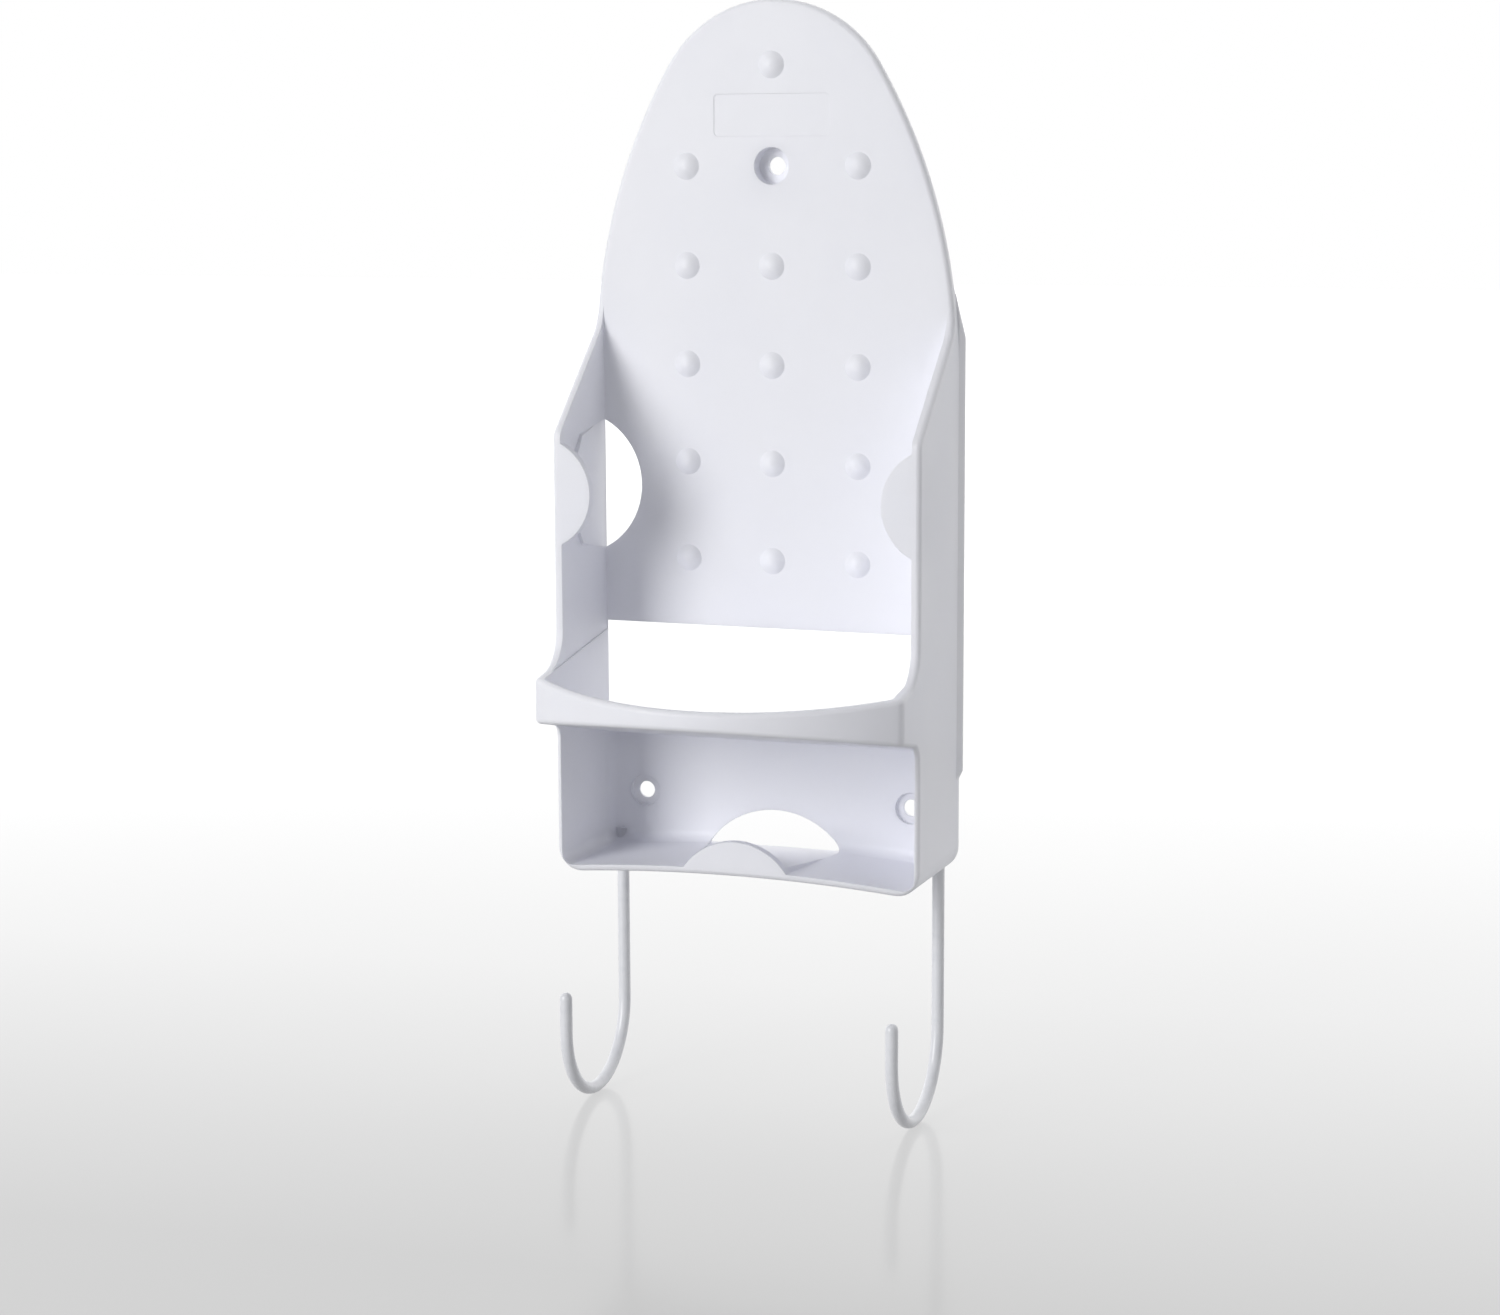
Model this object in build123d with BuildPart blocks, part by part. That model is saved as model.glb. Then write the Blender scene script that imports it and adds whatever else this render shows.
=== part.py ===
# Ironing board holder: a moulded wall caddy for the iron, with two wire hooks below for the board.
# X runs to the right, Y into the wall and Z up. The wall is the plane Y = 0 and the top screw is the origin.
# Depths are measured out from the wall, drops downwards from the top screw, all in millimetres.
import os
from math import radians, sqrt, tan

from build123d import *

# Back plate
body_width = 139.5
nose_height = 59.3       # apex of the plate above the top screw
side_radius = 207.0      # long side curves that run from the nose into the upright sides
shoulder_drop = 70.0     # where the side curves turn upright
plate_depth = 8.0        # front of the plate, out from the wall
plate_thick = 2.5
plate_bottom = 169.0     # lower edge of the plate, above the open window
skirt_depth = 3.4        # depth of the rim that stiffens the plate's edge
skirt_thick = 2.2

# Side walls
wall_depth = 49.4        # front edge of the walls, out from the wall
wall_thick = 3.25
wall_top_drop = 57.5     # where the sloping top edge leaves the plate
wall_front_drop = 95.0   # where it reaches the front edge
wall_top_blend = 15.0    # hollow curve from the plate into the sloping top edge
wall_front_round = 5.0
flange_top_drop = 41.0   # where the rear edge starts to run back to the wall
flange_full_drop = 61.0  # where it reaches the wall
flange_flare = 1.5       # how far the rear edge turns outwards
flange_run = 3.6         # depth over which it turns outwards
flange_edge = 0.6        # upright side of the turned edge
flange_rim = 1.4         # width of its flat rear face
flange_end_drop = 219.4  # where it runs out again, above the box
flange_end_run = 3.1
rear_opening = 8.5       # depth over which the insides of the walls open towards the rear
edge_round = 1.8         # rounding of the outer front edges

# Tray for the heel of the iron, closed in front by a bowed lip
ear_depth = 68.0         # ends of the lip, out from the wall
lip_bow = 26.3           # how far the middle of the lip stands out beyond its ends
lip_top_drop = 182.0     # top of the lip at its ends
lip_height = 16.6        # height of the lip at its ends
lip_thick = 2.4
lip_top_slope = 9.4      # degrees, the top edge falls towards the front
shelf_slope = 12.3       # degrees, the shelf falls towards the wall
shelf_thick = 2.4
ear_round = 4.5
flare_top_round = 14.0   # hollow curve from the walls into the lip
flare_foot_round = 5.5   # and from the lip back to the box
ledge = 0.7              # the tray's sides are this much thicker inside than the walls

# Storage box under the tray
box_drop = 257.6         # lower corners of the box
box_arch = 3.4           # how far the underside arches up in the middle
box_corner = 8.7
box_side = 1.8
box_floor = 2.6
panel_depth = 5.0        # front of the back panel, out from the wall
panel_thick = 2.8
box_inner_round = 4.0

# Raised dots that keep the hot soleplate off the plate
dot_pitch_x = 33.0
dot_pitch_z = 36.0
dot_rows = 5             # rows at the top screw's height and below, beside the single dot above
dot_diameter = 9.8
dot_height = 1.9

# Blank label recess
label_width = 44.3
label_height = 15.1
label_centre = 18.2
label_sink = 0.15
label_round = 1.6

# Screws
top_bore = 6.6
top_seat = 13.4          # deep seat for the head
top_seat_floor = 2.0
top_boss_wall = 2.0
low_bore = 6.3
low_seat = 11.8
low_seat_sink = 1.7
low_inset = 17.05        # in from the sides of the body
low_drop = 234.2
low_ring = 12.6          # rings behind the panel that stand against the wall
low_ring_inner = 9.0

# Retaining tabs and the core holes behind them
side_tab_beyond = 6.05   # centre of the side tabs' curve, outside the body
side_tab_radius = 20.6
side_tab_drop = 117.2
side_hole_beyond = 9.05  # centre of the holes' curve, outside the body
side_hole_radius = 27.3
side_core_sink = 1.1     # the core cuts this far into the wall behind the plate
side_core_draft = 4.9    # degrees, so that the wall is proud of itself towards the front
pad_base_depth = 25.6    # the proud part narrows from here
pad_tip_depth = 49.0     # to its tip
tab_thick = 3.5
low_tab_radius = 23.9
low_tab_rise = 12.8      # crown of the tab above the middle of the underside
low_hole_radius = 32.9
low_hole_rise = 16.3
low_core_floor = 0.9     # what the core leaves of the floor at the rear
low_core_draft = 4.0     # degrees, so that the floor stands proud towards the tab

# Wire hooks
wire = 4.6
hook_inset = 6.75        # in from the sides of the body
hook_depth = 3.0         # centre of the shafts, out from the wall
hook_bend = 28.0         # radius of the bend at the wire's centre
hook_drop = 346.2        # lowest point of the hooks
hook_tip = 13.0          # straight end beyond the bend, below its round tip
socket_wall = 0.6
socket_rise = 7.6        # blind end of the socket, above the box's lower corners
socket_foot = 2.6       # the socket starts this far above the box's lower corners
fit_gap = 0.1            # all round the wire in its socket

half_width = body_width / 2
inner_half = half_width - wall_thick
tray_half = inner_half - ledge
box_half = half_width - box_side
lip_depth = ear_depth + lip_bow
lip_clear = lip_depth + lip_thick   # just beyond the lip
bow_radius = ((body_width / 2) ** 2 + lip_bow**2) / (2 * lip_bow)
apex_clear = nose_height + wall_depth
skirt_rear = plate_depth - skirt_depth
plate_rear = plate_depth - plate_thick
flange_half = half_width + flange_flare
flange_top_x = half_width - side_radius + sqrt(side_radius**2 - (shoulder_drop - flange_top_drop) ** 2)
rear_half = flange_half - flange_rim


def lip_top(depth):
    # Height of the plane that trims the lip and the tray's sides
    return -lip_top_drop - (depth - ear_depth) * tan(radians(lip_top_slope))


def shelf_under(depth):
    # Height of the shelf's sloping underside
    return -lip_top_drop - lip_height + (depth - ear_depth) * tan(radians(shelf_slope))


def shelf_top(depth):
    return shelf_under(depth) + shelf_thick


def core_x(depth):
    # Where the side cores shape the inside of the wall
    return inner_half + side_core_sink - (depth - plate_rear) * tan(radians(side_core_draft))


def core_z(depth):
    # Where the lower core shapes the floor of the box
    return -under_drop + low_core_floor + depth * tan(radians(low_core_draft))


# The nose arc that touches both side curves follows from the three sizes of the outline
outline_height = nose_height + shoulder_drop
side_offset = side_radius - half_width
nose_radius = (side_radius**2 - side_offset**2 - outline_height**2) / (2 * (side_radius - outline_height))
nose_centre = nose_height - nose_radius
blend = nose_radius / (side_radius - nose_radius)
blend_x = side_offset * blend
blend_z = nose_centre + (nose_centre + shoulder_drop) * blend

low_screws = [(side * (half_width - low_inset), -low_drop) for side in (-1, 1)]
hook_places = [(side * (half_width - hook_inset), -hook_depth) for side in (-1, 1)]
socket_radius = wire / 2 + fit_gap + socket_wall
socket_top_drop = box_drop - socket_rise
bend_centre = -hook_drop + wire / 2 + hook_bend
tip_y = -hook_depth - 2 * hook_bend
under_drop = box_drop - box_arch                # middle of the underside
low_floor_drop = under_drop - box_floor / 2     # middle of the box's floor
low_tab_drop = under_drop - low_tab_rise
low_hole_drop = under_drop - low_hole_rise
dots = [(0, dot_pitch_z)]
dots += [(side * dot_pitch_x, -row * dot_pitch_z) for row in range(dot_rows) for side in (-1, 1)]
dots += [(0, -row * dot_pitch_z) for row in range(1, dot_rows)]

# Front view: nose, long side curves, upright sides and the arched underside
with BuildSketch(Plane.XZ) as front_view:
    with BuildLine():
        nose = TangentArc((0, nose_height), (blend_x, blend_z), tangent=(1, 0))
        side = TangentArc(nose @ 1, (half_width, -shoulder_drop), tangent=nose % 1)
        upright = Line(side @ 1, (half_width, -box_drop))
        mirror(about=Plane.YZ)
        ThreePointArc(upright @ 1, (0, -box_drop + box_arch), (-half_width, -box_drop))
    make_face()
    fillet(front_view.vertices().group_by(Axis.Y)[0], radius=box_corner)

# Space above the shelf, between the tray's sides and behind the lip, open through the window at the back
with BuildPart() as tray_space:
    with BuildSketch(Plane.XY.offset(-box_drop)) as tray_view:
        with Locations((0, -lip_depth + bow_radius)):
            Circle(bow_radius - lip_thick)
        Rectangle(body_width, 2 * wall_depth)
        Rectangle(2 * tray_half, 2 * lip_clear, mode=Mode.INTERSECT)
        fillet(tray_view.vertices().group_by(Axis.Y)[0], radius=ear_round - lip_thick)
    extrude(amount=box_drop)
    with BuildSketch(Plane.YZ):
        with BuildLine():
            Polyline(
                (wall_depth, shelf_top(-wall_depth)),
                (wall_depth, -plate_bottom),
                (-plate_depth, -plate_bottom),
                (-plate_depth, 0),
                (-lip_clear, 0),
                (-lip_clear, shelf_top(lip_clear)),
                close=True,
            )
        make_face()
    extrude(amount=half_width, both=True, mode=Mode.INTERSECT)

# Space between the walls above the tray, a little wider than the tray itself
with BuildPart() as bay_space:
    with BuildSketch(Plane.YZ):
        with BuildLine():
            Polyline(
                (-plate_depth, lip_top(plate_depth)),
                (-plate_depth, 0),
                (-lip_clear, 0),
                (-lip_clear, lip_top(lip_clear)),
                close=True,
            )
        make_face()
    extrude(amount=inner_half, both=True)

# Space inside the storage box, under the shelf and in front of the back panel
with BuildPart() as box_space:
    with BuildSketch(Plane.XZ.offset(panel_depth)):
        with BuildLine():
            floor = -box_drop + box_floor
            arch = ThreePointArc((-box_half, floor), (0, floor + box_arch), (box_half, floor))
            Polyline(arch @ 1, (box_half, -plate_bottom), (-box_half, -plate_bottom), arch @ 0)
        make_face()
    extrude(amount=wall_depth)
    with BuildSketch(Plane.YZ):
        with BuildLine():
            Polyline(
                (0, -box_drop),
                (0, shelf_under(0)),
                (-lip_clear, shelf_under(lip_clear)),
                (-lip_clear, -box_drop),
                close=True,
            )
        make_face()
    extrude(amount=half_width, both=True, mode=Mode.INTERSECT)
    back_face = box_space.faces().sort_by(Axis.Y)[-1]
    side_floor = box_space.edges().filter_by(Axis.Y).group_by(Axis.Z)[0]
    fillet(side_floor + back_face.edges().sort_by(Axis.Z)[:-1], radius=box_inner_round)

# Turned-out rear edges of the side walls
with BuildPart() as flange:
    with BuildSketch(Plane.XY.offset(-box_drop)):
        with BuildLine():
            Polyline(
                (half_width - skirt_thick, 0),
                (flange_half, 0),
                (flange_half, -flange_edge),
                (half_width, -flange_run),
                (half_width - skirt_thick, -flange_run),
                close=True,
            )
        make_face()
    extrude(amount=box_drop)
    with BuildSketch(Plane.XZ):
        with BuildLine():
            Polyline(
                (0, -flange_top_drop),
                (flange_top_x, -flange_top_drop),
                (flange_half, -flange_full_drop),
                (flange_half, -flange_end_drop),
                (half_width, -flange_end_drop - flange_end_run),
                (0, -flange_end_drop - flange_end_run),
                close=True,
            )
        make_face()
    extrude(amount=flange_run, mode=Mode.INTERSECT)
    with BuildSketch(Plane.YZ):
        with BuildLine():
            Polyline(
                (-skirt_rear, -flange_top_drop),
                (0, -flange_full_drop),
                (0, -box_drop),
                (-skirt_rear, -box_drop),
                close=True,
            )
        make_face()
    extrude(amount=body_width, mode=Mode.INTERSECT)
    mirror(about=Plane.YZ)

# Space between the rear edges, where the insides of the walls open outwards behind the plate and the window
with BuildPart() as rear_space:
    with BuildSketch(Plane.XY.offset(-box_drop)):
        with BuildLine():
            Polyline(
                (-rear_half, 0),
                (rear_half, 0),
                (tray_half, -rear_opening),
                (-tray_half, -rear_opening),
                close=True,
            )
        make_face()
    extrude(amount=box_drop - shoulder_drop)
    with BuildSketch(Plane.YZ):
        with BuildLine():
            Polyline(
                (0, shelf_top(0)),
                (0, -shoulder_drop),
                (-plate_rear, -shoulder_drop),
                (-plate_rear, -plate_bottom),
                (-rear_opening, -plate_bottom),
                (-rear_opening, shelf_top(rear_opening)),
                close=True,
            )
        make_face()
    extrude(amount=body_width, both=True, mode=Mode.INTERSECT)

# Cores that shape the backs of the tabs, tapering from the holes behind towards the tabs
with BuildPart() as side_taper:
    with BuildSketch(Plane.XZ.offset(plate_rear)):
        with Locations((half_width + side_hole_beyond, -side_tab_drop)):
            Circle(side_hole_radius)
    with BuildSketch(Plane.XZ.offset(wall_depth - tab_thick)):
        with Locations((half_width + side_tab_beyond, -side_tab_drop)):
            Circle(side_tab_radius)
    loft()

# What the core clears, as far as the slanting inside of the wall
with BuildPart() as side_core:
    add(side_taper.part)
    with BuildSketch(Plane.XY.offset(-plate_bottom)):
        with BuildLine():
            Polyline(
                (0, -plate_rear),
                (core_x(plate_rear), -plate_rear),
                (core_x(wall_depth), -wall_depth),
                (0, -wall_depth),
                close=True,
            )
        make_face()
    extrude(amount=plate_bottom, mode=Mode.INTERSECT)
    mirror(about=Plane.YZ)

# The slanting part of the wall beside the core, which stands proud towards the front
with BuildPart() as side_pad:
    add(side_taper.part)
    with BuildSketch(Plane.XY.offset(-plate_bottom)):
        with BuildLine():
            Polyline(
                (core_x(plate_rear), -plate_rear),
                (half_width - edge_round, -plate_rear),
                (half_width - edge_round, -wall_depth),
                (core_x(wall_depth), -wall_depth),
                close=True,
            )
        make_face()
    extrude(amount=plate_bottom, mode=Mode.INTERSECT)
    with BuildSketch(Plane.YZ):
        with BuildLine():
            Polyline(
                (0, side_hole_radius - side_tab_drop),
                (-pad_base_depth, side_hole_radius - side_tab_drop),
                (-pad_tip_depth, -side_tab_drop),
                (-pad_base_depth, -side_hole_radius - side_tab_drop),
                (0, -side_hole_radius - side_tab_drop),
                close=True,
            )
        make_face()
    extrude(amount=half_width, mode=Mode.INTERSECT)
    mirror(about=Plane.YZ)

# The same for the tab at the bottom of the box
with BuildPart() as low_taper:
    with BuildSketch(Plane.XZ):
        with Locations((0, -low_hole_drop - low_hole_radius)):
            Circle(low_hole_radius)
    with BuildSketch(Plane.XZ.offset(wall_depth - tab_thick)):
        with Locations((0, -low_tab_drop - low_tab_radius)):
            Circle(low_tab_radius)
    loft()

with BuildPart() as low_core:
    add(low_taper.part)
    with BuildSketch(Plane.YZ):
        with BuildLine():
            Polyline(
                (0, core_z(0)),
                (0, -plate_bottom),
                (-wall_depth, -plate_bottom),
                (-wall_depth, core_z(wall_depth)),
                close=True,
            )
        make_face()
    extrude(amount=half_width, both=True, mode=Mode.INTERSECT)

with BuildPart() as low_pad:
    add(low_taper.part)
    with BuildSketch(Plane.YZ):
        with BuildLine():
            Polyline(
                (0, core_z(0)),
                (-wall_depth, core_z(wall_depth)),
                (-wall_depth, low_core_floor / 2 - under_drop),
                (0, low_core_floor / 2 - under_drop),
                close=True,
            )
        make_face()
    extrude(amount=half_width, both=True, mode=Mode.INTERSECT)

# Sockets for the wire in the rear corners of the box, open below
with BuildPart() as sockets:
    with BuildSketch(Plane.XY.offset(-box_drop + socket_foot)):
        with Locations(*hook_places):
            Circle(socket_radius)
    extrude(amount=box_drop - socket_foot - socket_top_drop + socket_wall)
    with BuildSketch(Plane.XZ):
        add(front_view.sketch_local)
    extrude(amount=hook_depth + socket_radius, mode=Mode.INTERSECT)

# One raised dot, a shallow dome
with BuildPart() as dot:
    with BuildSketch(Plane.XY):
        with BuildLine():
            crown = Line((0, plate_thick / 2), (0, -dot_height))
            dome = TangentArc(crown @ 1, (dot_diameter / 2, 0), tangent=(1, 0))
            Polyline(dome @ 1, (dot_diameter / 2, plate_thick / 2), crown @ 0)
        make_face()
    revolve(axis=Axis.Y)

# The moulded body
with BuildPart() as holder_body:
    with BuildSketch(Plane.XZ):
        add(front_view.sketch_local)
    extrude(amount=lip_clear)
    # Top view: the bowed lip
    with BuildSketch(Plane.XY.offset(-box_drop)):
        with Locations((0, -lip_depth + bow_radius)):
            Circle(bow_radius)
        Rectangle(2 * body_width, 2 * wall_depth)
    extrude(amount=box_drop + apex_clear, mode=Mode.INTERSECT)
    # Side view: sloping wall tops, flared tray, box front and the rear edges
    with BuildSketch(Plane.YZ):
        with BuildLine():
            FilletPolyline(
                (-plate_depth, apex_clear),
                (-plate_depth, -wall_top_drop),
                (-wall_depth, -wall_front_drop),
                (-wall_depth, lip_top(wall_depth)),
                (-lip_clear, lip_top(lip_clear)),
                (-lip_clear, shelf_under(lip_clear)),
                (-wall_depth, shelf_under(wall_depth)),
                (-wall_depth, -box_drop - box_arch),
                (0, -box_drop - box_arch),
                (0, -flange_full_drop),
                (-skirt_rear, -flange_top_drop),
                (-skirt_rear, apex_clear),
                radius=[
                    0, wall_top_blend, wall_front_round, flare_top_round, 0, 0, flare_foot_round,
                    0, 0, 0, 0, 0,
                ],
                close=True,
            )
        make_face()
    extrude(amount=body_width, both=True, mode=Mode.INTERSECT)
    # Rounded ends of the lip
    ends = holder_body.edges().filter_by(Axis.Z).group_by(Axis.Y)[0]
    fillet(ends, radius=ear_round)

    # Outer edges that face the front, all but the sharp lines across the width
    front_edges = holder_body.edges().filter_by(
        lambda edge: edge.center().Y < -skirt_rear - edge_round
        and not (edge.geom_type == GeomType.LINE and edge.bounding_box().size.X > edge_round)
        and not (edge.geom_type == GeomType.LINE and edge.bounding_box().size.Z < edge_round)
        and not (edge.geom_type == GeomType.LINE and edge.center().Y < -ear_depth + ear_round)
    )
    fillet(front_edges, radius=edge_round)
    add(flange.part)
    # Hollows in front of the plate, in the tray and in the box
    add(bay_space.part, mode=Mode.SUBTRACT)
    add(tray_space.part, mode=Mode.SUBTRACT)
    add(box_space.part, mode=Mode.SUBTRACT)
    # Hollow behind the plate, inside the rim
    with BuildSketch(Plane.XZ):
        add(front_view.sketch_local)
        offset(amount=-skirt_thick, mode=Mode.REPLACE)
        with Locations((0, apex_clear)):
            Rectangle(2 * body_width, 2 * (apex_clear + plate_bottom), mode=Mode.INTERSECT)
    extrude(amount=plate_rear, mode=Mode.SUBTRACT)
    add(rear_space.part, mode=Mode.SUBTRACT)
    # Hollow behind the back panel
    with BuildSketch(Plane.XZ):
        add(front_view.sketch_local)
        offset(amount=-box_side, mode=Mode.REPLACE)
        with Locations((0, 2 * shelf_under(0))):
            Rectangle(2 * body_width, -2 * shelf_under(0), mode=Mode.INTERSECT)
    extrude(amount=panel_depth - panel_thick, mode=Mode.SUBTRACT)
    # Bosses behind the plate and the panel
    with BuildSketch(Plane.XZ):
        Circle(top_seat / 2 + top_boss_wall)
    extrude(amount=plate_depth - plate_thick / 2)
    with BuildSketch(Plane.XZ):
        with Locations(*low_screws):
            Circle(low_ring / 2)
            Circle(low_ring_inner / 2, mode=Mode.SUBTRACT)
    extrude(amount=panel_depth - panel_thick / 2)
    add(sockets.part)
    # Side tabs, flush with the front edges of the walls
    with BuildSketch(Plane.XZ.offset(wall_depth - tab_thick)):
        tab_centre = half_width + side_tab_beyond
        with Locations((-tab_centre, -side_tab_drop), (tab_centre, -side_tab_drop)):
            Circle(side_tab_radius)
        with Locations((0, -side_tab_drop)):
            Rectangle(2 * (inner_half + edge_round), 4 * side_tab_radius, mode=Mode.INTERSECT)
    extrude(amount=tab_thick)
    # Holes behind the tabs, with the marks of the cores in the walls and the floor
    add(side_pad.part)
    add(low_pad.part)
    add(side_core.part, mode=Mode.SUBTRACT)
    add(low_core.part, mode=Mode.SUBTRACT)
    # Bottom tab at the front of the box
    with BuildSketch(Plane.XZ.offset(wall_depth - tab_thick)):
        with Locations((0, -low_tab_drop - low_tab_radius)):
            Circle(low_tab_radius)
        with Locations((0, -low_tab_drop)):
            Rectangle(body_width, 2 * (low_floor_drop - low_tab_drop), mode=Mode.INTERSECT)
    extrude(amount=tab_thick)
    # Raised dots on the plate
    with Locations(*[(x, -plate_depth, z) for x, z in dots]):
        add(dot.part)
    # Blank label recess
    with BuildSketch(Plane.XZ.offset(plate_depth)):
        with Locations((0, label_centre)):
            RectangleRounded(label_width, label_height, label_round)
    extrude(amount=-label_sink, mode=Mode.SUBTRACT)
    # Screw seats and holes
    with Locations(Plane.XZ.offset(plate_depth)):
        CounterBoreHole(top_bore / 2, top_seat / 2, plate_depth - top_seat_floor, plate_depth)
    with Locations(Plane.XZ.offset(panel_depth)):
        with Locations(*low_screws):
            CounterBoreHole(low_bore / 2, low_seat / 2, low_seat_sink, panel_depth)
    # Holes for the wire
    with BuildSketch(Plane.XY.offset(-box_drop)):
        with Locations(*hook_places):
            Circle(wire / 2 + fit_gap)
    extrude(amount=box_drop - socket_top_drop, mode=Mode.SUBTRACT)

# The wire hooks, shaft down from the socket, bend to the front and a short upright tip
hooks = []
for hook_x, hook_y in hook_places:
    with BuildPart() as hook:
        with BuildLine(Plane.YZ.offset(hook_x)):
            Line((hook_y, -socket_top_drop), (hook_y, bend_centre))
            bend_bottom = (hook_y - hook_bend, bend_centre - hook_bend)
            ThreePointArc((hook_y, bend_centre), bend_bottom, (tip_y, bend_centre))
            Line((tip_y, bend_centre), (tip_y, bend_centre + hook_tip))
        with BuildSketch(Plane.XY.offset(-socket_top_drop)):
            with Locations((hook_x, hook_y)):
                Circle(wire / 2)
        sweep()
        with Locations((hook_x, tip_y, bend_centre + hook_tip)):
            Sphere(wire / 2)
    hooks.append(hook.part)

os.makedirs("parts", exist_ok=True)
hook_left, hook_right = hooks
holder_body.part.label = "holder_body"
hook_left.label = "hook_left"
hook_right.label = "hook_right"
export_step(holder_body.part, "parts/holder_body.step")
export_step(hook_left, "parts/hook_left.step")
export_step(hook_right, "parts/hook_right.step")
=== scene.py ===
import math

import bpy
import numpy as np
from mathutils import Matrix, Vector

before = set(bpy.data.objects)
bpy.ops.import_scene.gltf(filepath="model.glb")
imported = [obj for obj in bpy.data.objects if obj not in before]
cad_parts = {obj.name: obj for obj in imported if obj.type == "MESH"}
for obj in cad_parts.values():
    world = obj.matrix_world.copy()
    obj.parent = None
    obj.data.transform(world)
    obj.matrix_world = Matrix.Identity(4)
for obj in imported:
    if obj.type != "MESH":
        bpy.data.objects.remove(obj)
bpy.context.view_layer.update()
print("frame loaded:", sorted(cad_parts))


class Flow:  # one shader socket, so that sums of values read as plain Python
    def __init__(self, tree, socket=None):
        self.tree = tree
        self.socket = socket

    def node(self, kind, settings=None, inputs=None, out=0):
        made = self.tree.nodes.new(kind)
        for name, value in (settings or {}).items():
            if name == "stops":
                ramp = made.color_ramp
                while len(ramp.elements) < len(value):
                    ramp.elements.new(1.0)
                for element, (place, colour) in zip(ramp.elements, value):
                    element.position = place
                    element.color = colour
            else:
                setattr(made, name, value)
        for key, value in (inputs or {}).items():
            if isinstance(value, Flow):
                self.tree.links.new(value.socket, made.inputs[key])
            else:
                made.inputs[key].default_value = value
        return Flow(self.tree, made.outputs[out] if len(made.outputs) else None)

    def math(self, operation, first, second):
        return self.node("ShaderNodeMath", {"operation": operation}, {0: first, 1: second})

    def __add__(self, other):
        return self.math("ADD", self, other)

    def __radd__(self, other):
        return self.math("ADD", other, self)

    def __sub__(self, other):
        return self.math("SUBTRACT", self, other)

    def __rsub__(self, other):
        return self.math("SUBTRACT", other, self)

    def __mul__(self, other):
        return self.math("MULTIPLY", self, other)

    def __rmul__(self, other):
        return self.math("MULTIPLY", other, self)


def newMaterial(name):
    material = bpy.data.materials.new(name)
    material.use_nodes = True
    tree = material.node_tree
    tree.nodes.clear()
    return material, Flow(tree)


def blendColours(flow, factor, first, second):  # sockets 6 and 7 are the colour pair of a Mix node
    return flow.node("ShaderNodeMix", {"data_type": "RGBA"}, {0: factor, 6: first, 7: second}, out=2)


def smoothStep(flow, value, low, high):
    return flow.node(
        "ShaderNodeMapRange",
        {"interpolation_type": "SMOOTHSTEP"},
        {"Value": value, "From Min": low, "From Max": high},
    )


def noise(flow, place, scale, detail, roughness=0.5):
    return flow.node("ShaderNodeTexNoise", {}, {
        "Vector": place, "Scale": scale, "Detail": detail, "Roughness": roughness})


mouldedWhite = {
    "paper": (0.876, 0.882, 0.947, 1.0),   # cool white of the plastic
    "shade": (0.860, 0.867, 0.934, 1.0),   # slow drift of the pigment
    "driftScale": 26.0,                    # patches of that drift in a metre
    "driftTurn": (0.3, 0.75),
    "driftGloss": 0.08,
    "grainSize": 0.00042,                  # spark-eroded mould texture, metres
    "grainDepth": 0.000022,
    "grainStrength": 0.8,
    "grainRoughness": 0.55,
    "grainGloss": 0.10,
    "pitScale": 0.55,                      # pits along one grain
    "pitSmoothness": 0.6,
    "pitShare": 0.35,                      # of the texture's height
    "waveSize": 0.016,                     # slow waviness of a thin moulding
    "waveDepth": 0.00012,
    "waveStrength": 0.35,
    "roughness": 0.46,
    "specular": 0.42,
    "ior": 1.49,
    "edgeRadius": 0.00030,                 # softened mould edges
    "milky": 0.42,                         # share of the light that enters the plastic
    "milkyReach": 0.0045,                  # how far it travels, metres
}


def makeMouldedWhite(look):
    material, flow = newMaterial("mouldedWhite")
    place = flow.node("ShaderNodeTexCoord", out="Object")
    grain = noise(flow, place, 1 / look["grainSize"], 2.0, look["grainRoughness"])
    pits = flow.node("ShaderNodeTexVoronoi", {"feature": "SMOOTH_F1"}, {
        "Vector": place, "Scale": look["pitScale"] / look["grainSize"], "Smoothness": look["pitSmoothness"]})
    wave = noise(flow, place, 1 / look["waveSize"], 1.0)
    drift = noise(flow, place, look["driftScale"], 3.0)
    colour = blendColours(flow, smoothStep(flow, drift, *look["driftTurn"]), look["paper"], look["shade"])
    soft = flow.node("ShaderNodeBevel", {"samples": 6}, {"Radius": look["edgeRadius"]})
    wavy = flow.node("ShaderNodeBump", {}, {
        "Strength": look["waveStrength"], "Distance": look["waveDepth"], "Height": wave, "Normal": soft})
    texture = grain * (1 - look["pitShare"]) + pits * look["pitShare"]
    bump = flow.node("ShaderNodeBump", {}, {
        "Strength": look["grainStrength"], "Distance": look["grainDepth"], "Height": texture, "Normal": wavy})
    roughness = look["roughness"] + (grain - 0.5) * look["grainGloss"] + (drift - 0.5) * look["driftGloss"]
    shell = flow.node("ShaderNodeBsdfPrincipled", {}, {
        "Base Color": colour, "Roughness": roughness, "Normal": bump,
        "Specular IOR Level": look["specular"], "IOR": look["ior"],
        "Subsurface Weight": look["milky"], "Subsurface Scale": look["milkyReach"],
        "Subsurface Radius": (1.0, 1.0, 1.0)})
    flow.node("ShaderNodeOutputMaterial", {}, {"Surface": shell})
    return material


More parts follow.
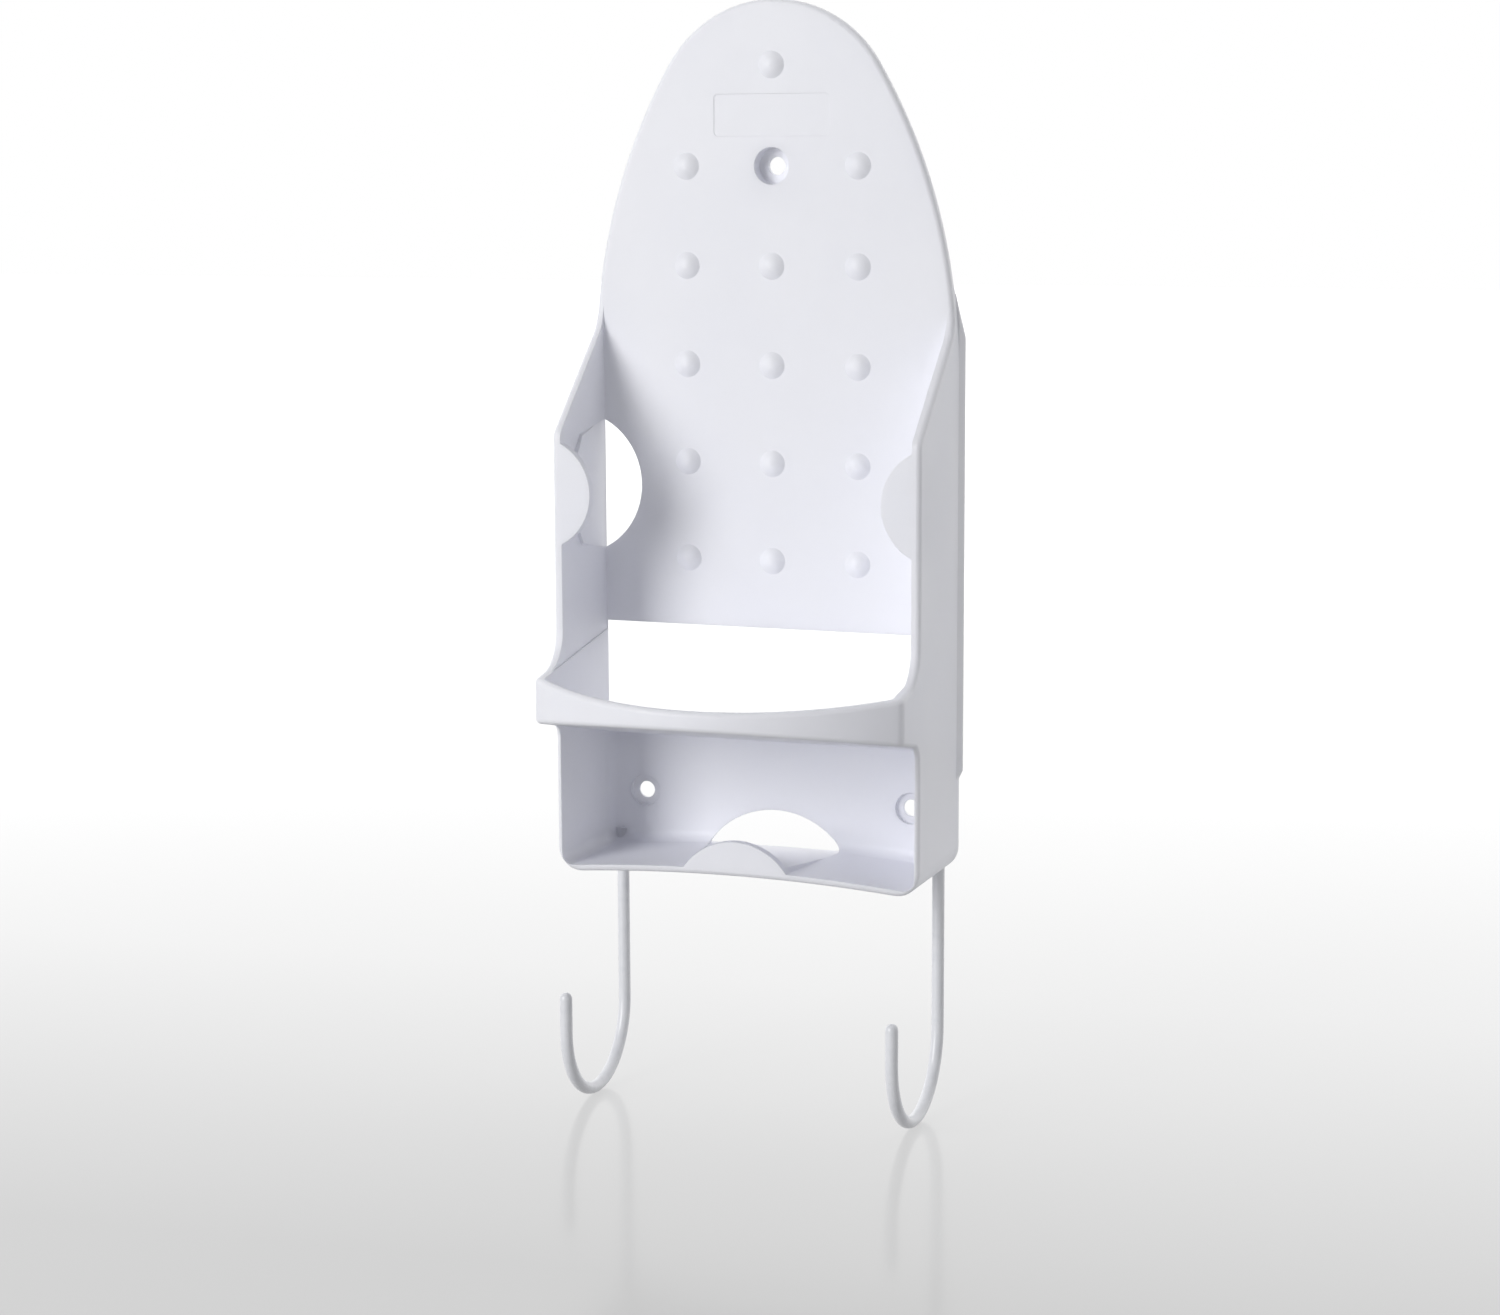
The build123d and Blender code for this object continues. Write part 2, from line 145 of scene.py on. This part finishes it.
coatedWire = {
    "coat": (0.820, 0.830, 0.868, 1.0),    # white dip coating
    "thin": (0.768, 0.782, 0.824, 1.0),    # where the coating ran thinner
    "thinTurn": (0.45, 0.8),
    "pull": 0.0045,                        # slow ripples of the dip, metres
    "pullDepth": 0.00006,
    "pullStrength": 0.5,
    "pullGloss": 0.12,
    "fineScale": 2600.0,                   # fine orange peel, bumps in a metre
    "fineShare": 0.15,                     # of the coating's height
    "fineGloss": 0.06,
    "roughness": 0.30,
    "ior": 1.5,
    "clear": 0.2,                          # glossy skin of the coating
    "clearRoughness": 0.15,
}


def makeCoatedWire(look):
    material, flow = newMaterial("coatedWire")
    place = flow.node("ShaderNodeTexCoord", out="Object")
    ripple = noise(flow, place, 1 / look["pull"], 1.5)
    fine = noise(flow, place, look["fineScale"], 1.0)
    colour = blendColours(flow, smoothStep(flow, ripple, *look["thinTurn"]), look["coat"], look["thin"])
    height = ripple * (1 - look["fineShare"]) + fine * look["fineShare"]
    bump = flow.node("ShaderNodeBump", {}, {
        "Strength": look["pullStrength"], "Distance": look["pullDepth"], "Height": height})
    roughness = look["roughness"] + (ripple - 0.5) * look["pullGloss"] + (fine - 0.5) * look["fineGloss"]
    wire = flow.node("ShaderNodeBsdfPrincipled", {}, {
        "Base Color": colour, "Roughness": roughness, "Normal": bump, "IOR": look["ior"],
        "Coat Weight": look["clear"], "Coat Roughness": look["clearRoughness"]})
    flow.node("ShaderNodeOutputMaterial", {}, {"Surface": wire})
    return material


def dress(node, material):
    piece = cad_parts[node]
    for slot in piece.material_slots:
        slot.material = material


bodyLook = makeMouldedWhite(mouldedWhite)
wireLook = makeCoatedWire(coatedWire)
dress("holder_body", bodyLook)
dress("hook_left", wireLook)
dress("hook_right", wireLook)
print("materials set")


studioFloor = {
    "level": -0.3464,            # just under the hooks
    "reach": 7.0,
    "from": (0.3882, -1.0791),   # the paper's painted light grows from grey to white along a straight line from here
    "heading": 5.0,              # degrees to the left of straight ahead
    "near": 0.90,                # distances along that line, metres
    "far": 1.85,
    # the paper's glow at each share of that distance: painted light, grey near the camera and white far off
    "paintedGlowStops": [(0.0, 0.480), (0.055, 0.508), (0.225, 0.580), (0.37, 0.632), (0.64, 0.668), (1.0, 0.70)],
    "thrown": 0.45,              # share of the paper's painted glow that also lights the object, standing in for bounce light
    "shadowed": (0.10, 0.10, 0.10, 1.0),   # the part of the paper's white that shows shadows
    "roughness": 0.14,
    "gloss": 0.08,
}


def makeFloor(look):
    edge = look["reach"]
    corners = np.array([[-edge, -edge, 0], [edge, -edge, 0], [edge, edge, 0], [-edge, edge, 0]], float)
    corners[:, 2] = look["level"]
    mesh = bpy.data.meshes.new("studioFloor")
    mesh.from_pydata(corners.tolist(), [], [[0, 1, 2, 3]])
    floor = bpy.data.objects.new("studioFloor", mesh)
    bpy.context.scene.collection.objects.link(floor)
    material, flow = newMaterial("studioPaper")
    place = flow.node("ShaderNodeTexCoord", out="Object")
    turn = math.radians(look["heading"])
    ahead = Vector((-math.sin(turn), math.cos(turn), 0))
    start = ahead.dot(Vector((*look["from"], 0)))
    along = flow.node(
        "ShaderNodeVectorMath", {"operation": "DOT_PRODUCT"}, {0: place, 1: ahead}, out="Value")
    distance = (along - start - look["near"]) * (1 / (look["far"] - look["near"]))
    # painted light: the paper glows by distance instead of being lit, and only the shadowed part below takes
    # real light
    paintedGlow = flow.node("ShaderNodeValToRGB", {
        "stops": [(share, (grey, grey, grey, 1.0)) for share, grey in look["paintedGlowStops"]]}, {"Fac": distance})
    seen = flow.node("ShaderNodeLightPath", out="Is Camera Ray")
    sheen = flow.node("ShaderNodeLightPath", out="Is Glossy Ray")
    shown = flow.node("ShaderNodeMath", {"operation": "MAXIMUM"}, {0: seen, 1: sheen})
    level = look["thrown"] + shown * (1.0 - look["thrown"])
    glow = flow.node("ShaderNodeVectorMath", {"operation": "SCALE"}, {0: paintedGlow, "Scale": level})
    paper = flow.node("ShaderNodeBsdfPrincipled", {}, {
        "Base Color": look["shadowed"], "Roughness": look["roughness"], "Specular IOR Level": look["gloss"],
        "Emission Color": glow, "Emission Strength": 1.0})
    flow.node("ShaderNodeOutputMaterial", {}, {"Surface": paper})
    mesh.materials.append(material)


makeFloor(studioFloor)


studioLight = {
    "aim": (0.0, -0.03, -0.13),   # middle of the moulding
    "key": {"azimuth": -32, "height": 14, "away": 3.0, "wide": 1.4, "tall": 2.1, "watts": 68.5},
    "right": {"azimuth": 80, "height": 5, "away": 2.0, "wide": 0.8, "tall": 0.7, "watts": 3.2},
    "room": {"front": 0.20, "backdrop": 1.3, "turn": (0.05, 0.45)},   # dim before the object, bright behind
}


def addLamp(name, look, aim):  # azimuth 0 is straight in front, to the right is plus
    turn, lift = math.radians(look["azimuth"]), math.radians(look["height"])
    out = Vector((math.sin(turn) * math.cos(lift), -math.cos(turn) * math.cos(lift), math.sin(lift)))
    lamp = bpy.data.lights.new(name, "AREA")
    lamp.energy = look["watts"]
    lamp.shape = "RECTANGLE"
    lamp.size = look["wide"]
    lamp.size_y = look["tall"]
    holder = bpy.data.objects.new(name, lamp)
    holder.location = Vector(aim) + out * look["away"]
    holder.rotation_euler = (-out).to_track_quat("-Z", "Y").to_euler()
    holder.visible_camera = False
    holder.visible_glossy = name == "key"   # the right lamp only fills
    bpy.context.scene.collection.objects.link(holder)


for lampName in ("key", "right"):
    addLamp(lampName, studioLight[lampName], studioLight["aim"])


def makeRoom(look):
    world = bpy.data.worlds.new("studioRoom")
    bpy.context.scene.world = world
    world.use_nodes = True
    world.node_tree.nodes.clear()
    flow = Flow(world.node_tree)
    way = flow.node("ShaderNodeTexCoord", out="Generated")
    ahead = flow.node("ShaderNodeSeparateXYZ", {}, {"Vector": way}, out="Y")
    behind = smoothStep(flow, ahead, *look["turn"])
    level = look["front"] + behind * (look["backdrop"] - look["front"])
    seen = flow.node("ShaderNodeLightPath", out="Is Camera Ray")
    light = flow.node("ShaderNodeBackground", {}, {"Color": blendColours(flow, seen, level, (1, 1, 1, 1))})
    flow.node("ShaderNodeOutputWorld", {}, {"Surface": light})


makeRoom(studioLight["room"])
print("studio set")


viewpoint = {
    "at": (0.3882, -1.0791, 0.0043),
    "yaw": 20.347,     # degrees to the left of straight ahead
    "pitch": 9.187,    # degrees downwards
    "roll": -0.235,
    "lens": 74.72,
    "sensor": 36.0,
    "clipEnd": 50,
}


def addCamera(look):
    yaw, pitch, roll = (math.radians(look[name]) for name in ("yaw", "pitch", "roll"))
    ahead = Vector((-math.sin(yaw) * math.cos(pitch), math.cos(yaw) * math.cos(pitch), -math.sin(pitch)))
    levelRight = Vector((math.cos(yaw), math.sin(yaw), 0))
    levelUp = levelRight.cross(ahead)
    right = levelRight * math.cos(roll) + levelUp * math.sin(roll)
    up = right.cross(ahead)
    camera = bpy.data.cameras.new("photoView")
    camera.lens = look["lens"]
    camera.sensor_width = look["sensor"]
    camera.clip_end = look["clipEnd"]
    holder = bpy.data.objects.new("photoView", camera)
    turn = Matrix((right, up, -ahead)).transposed()
    holder.matrix_world = Matrix.Translation(Vector(look["at"])) @ turn.to_4x4()
    bpy.context.scene.collection.objects.link(holder)
    bpy.context.scene.camera = holder


addCamera(viewpoint)
bpy.context.scene.view_settings.view_transform = "Standard"
print("camera set")
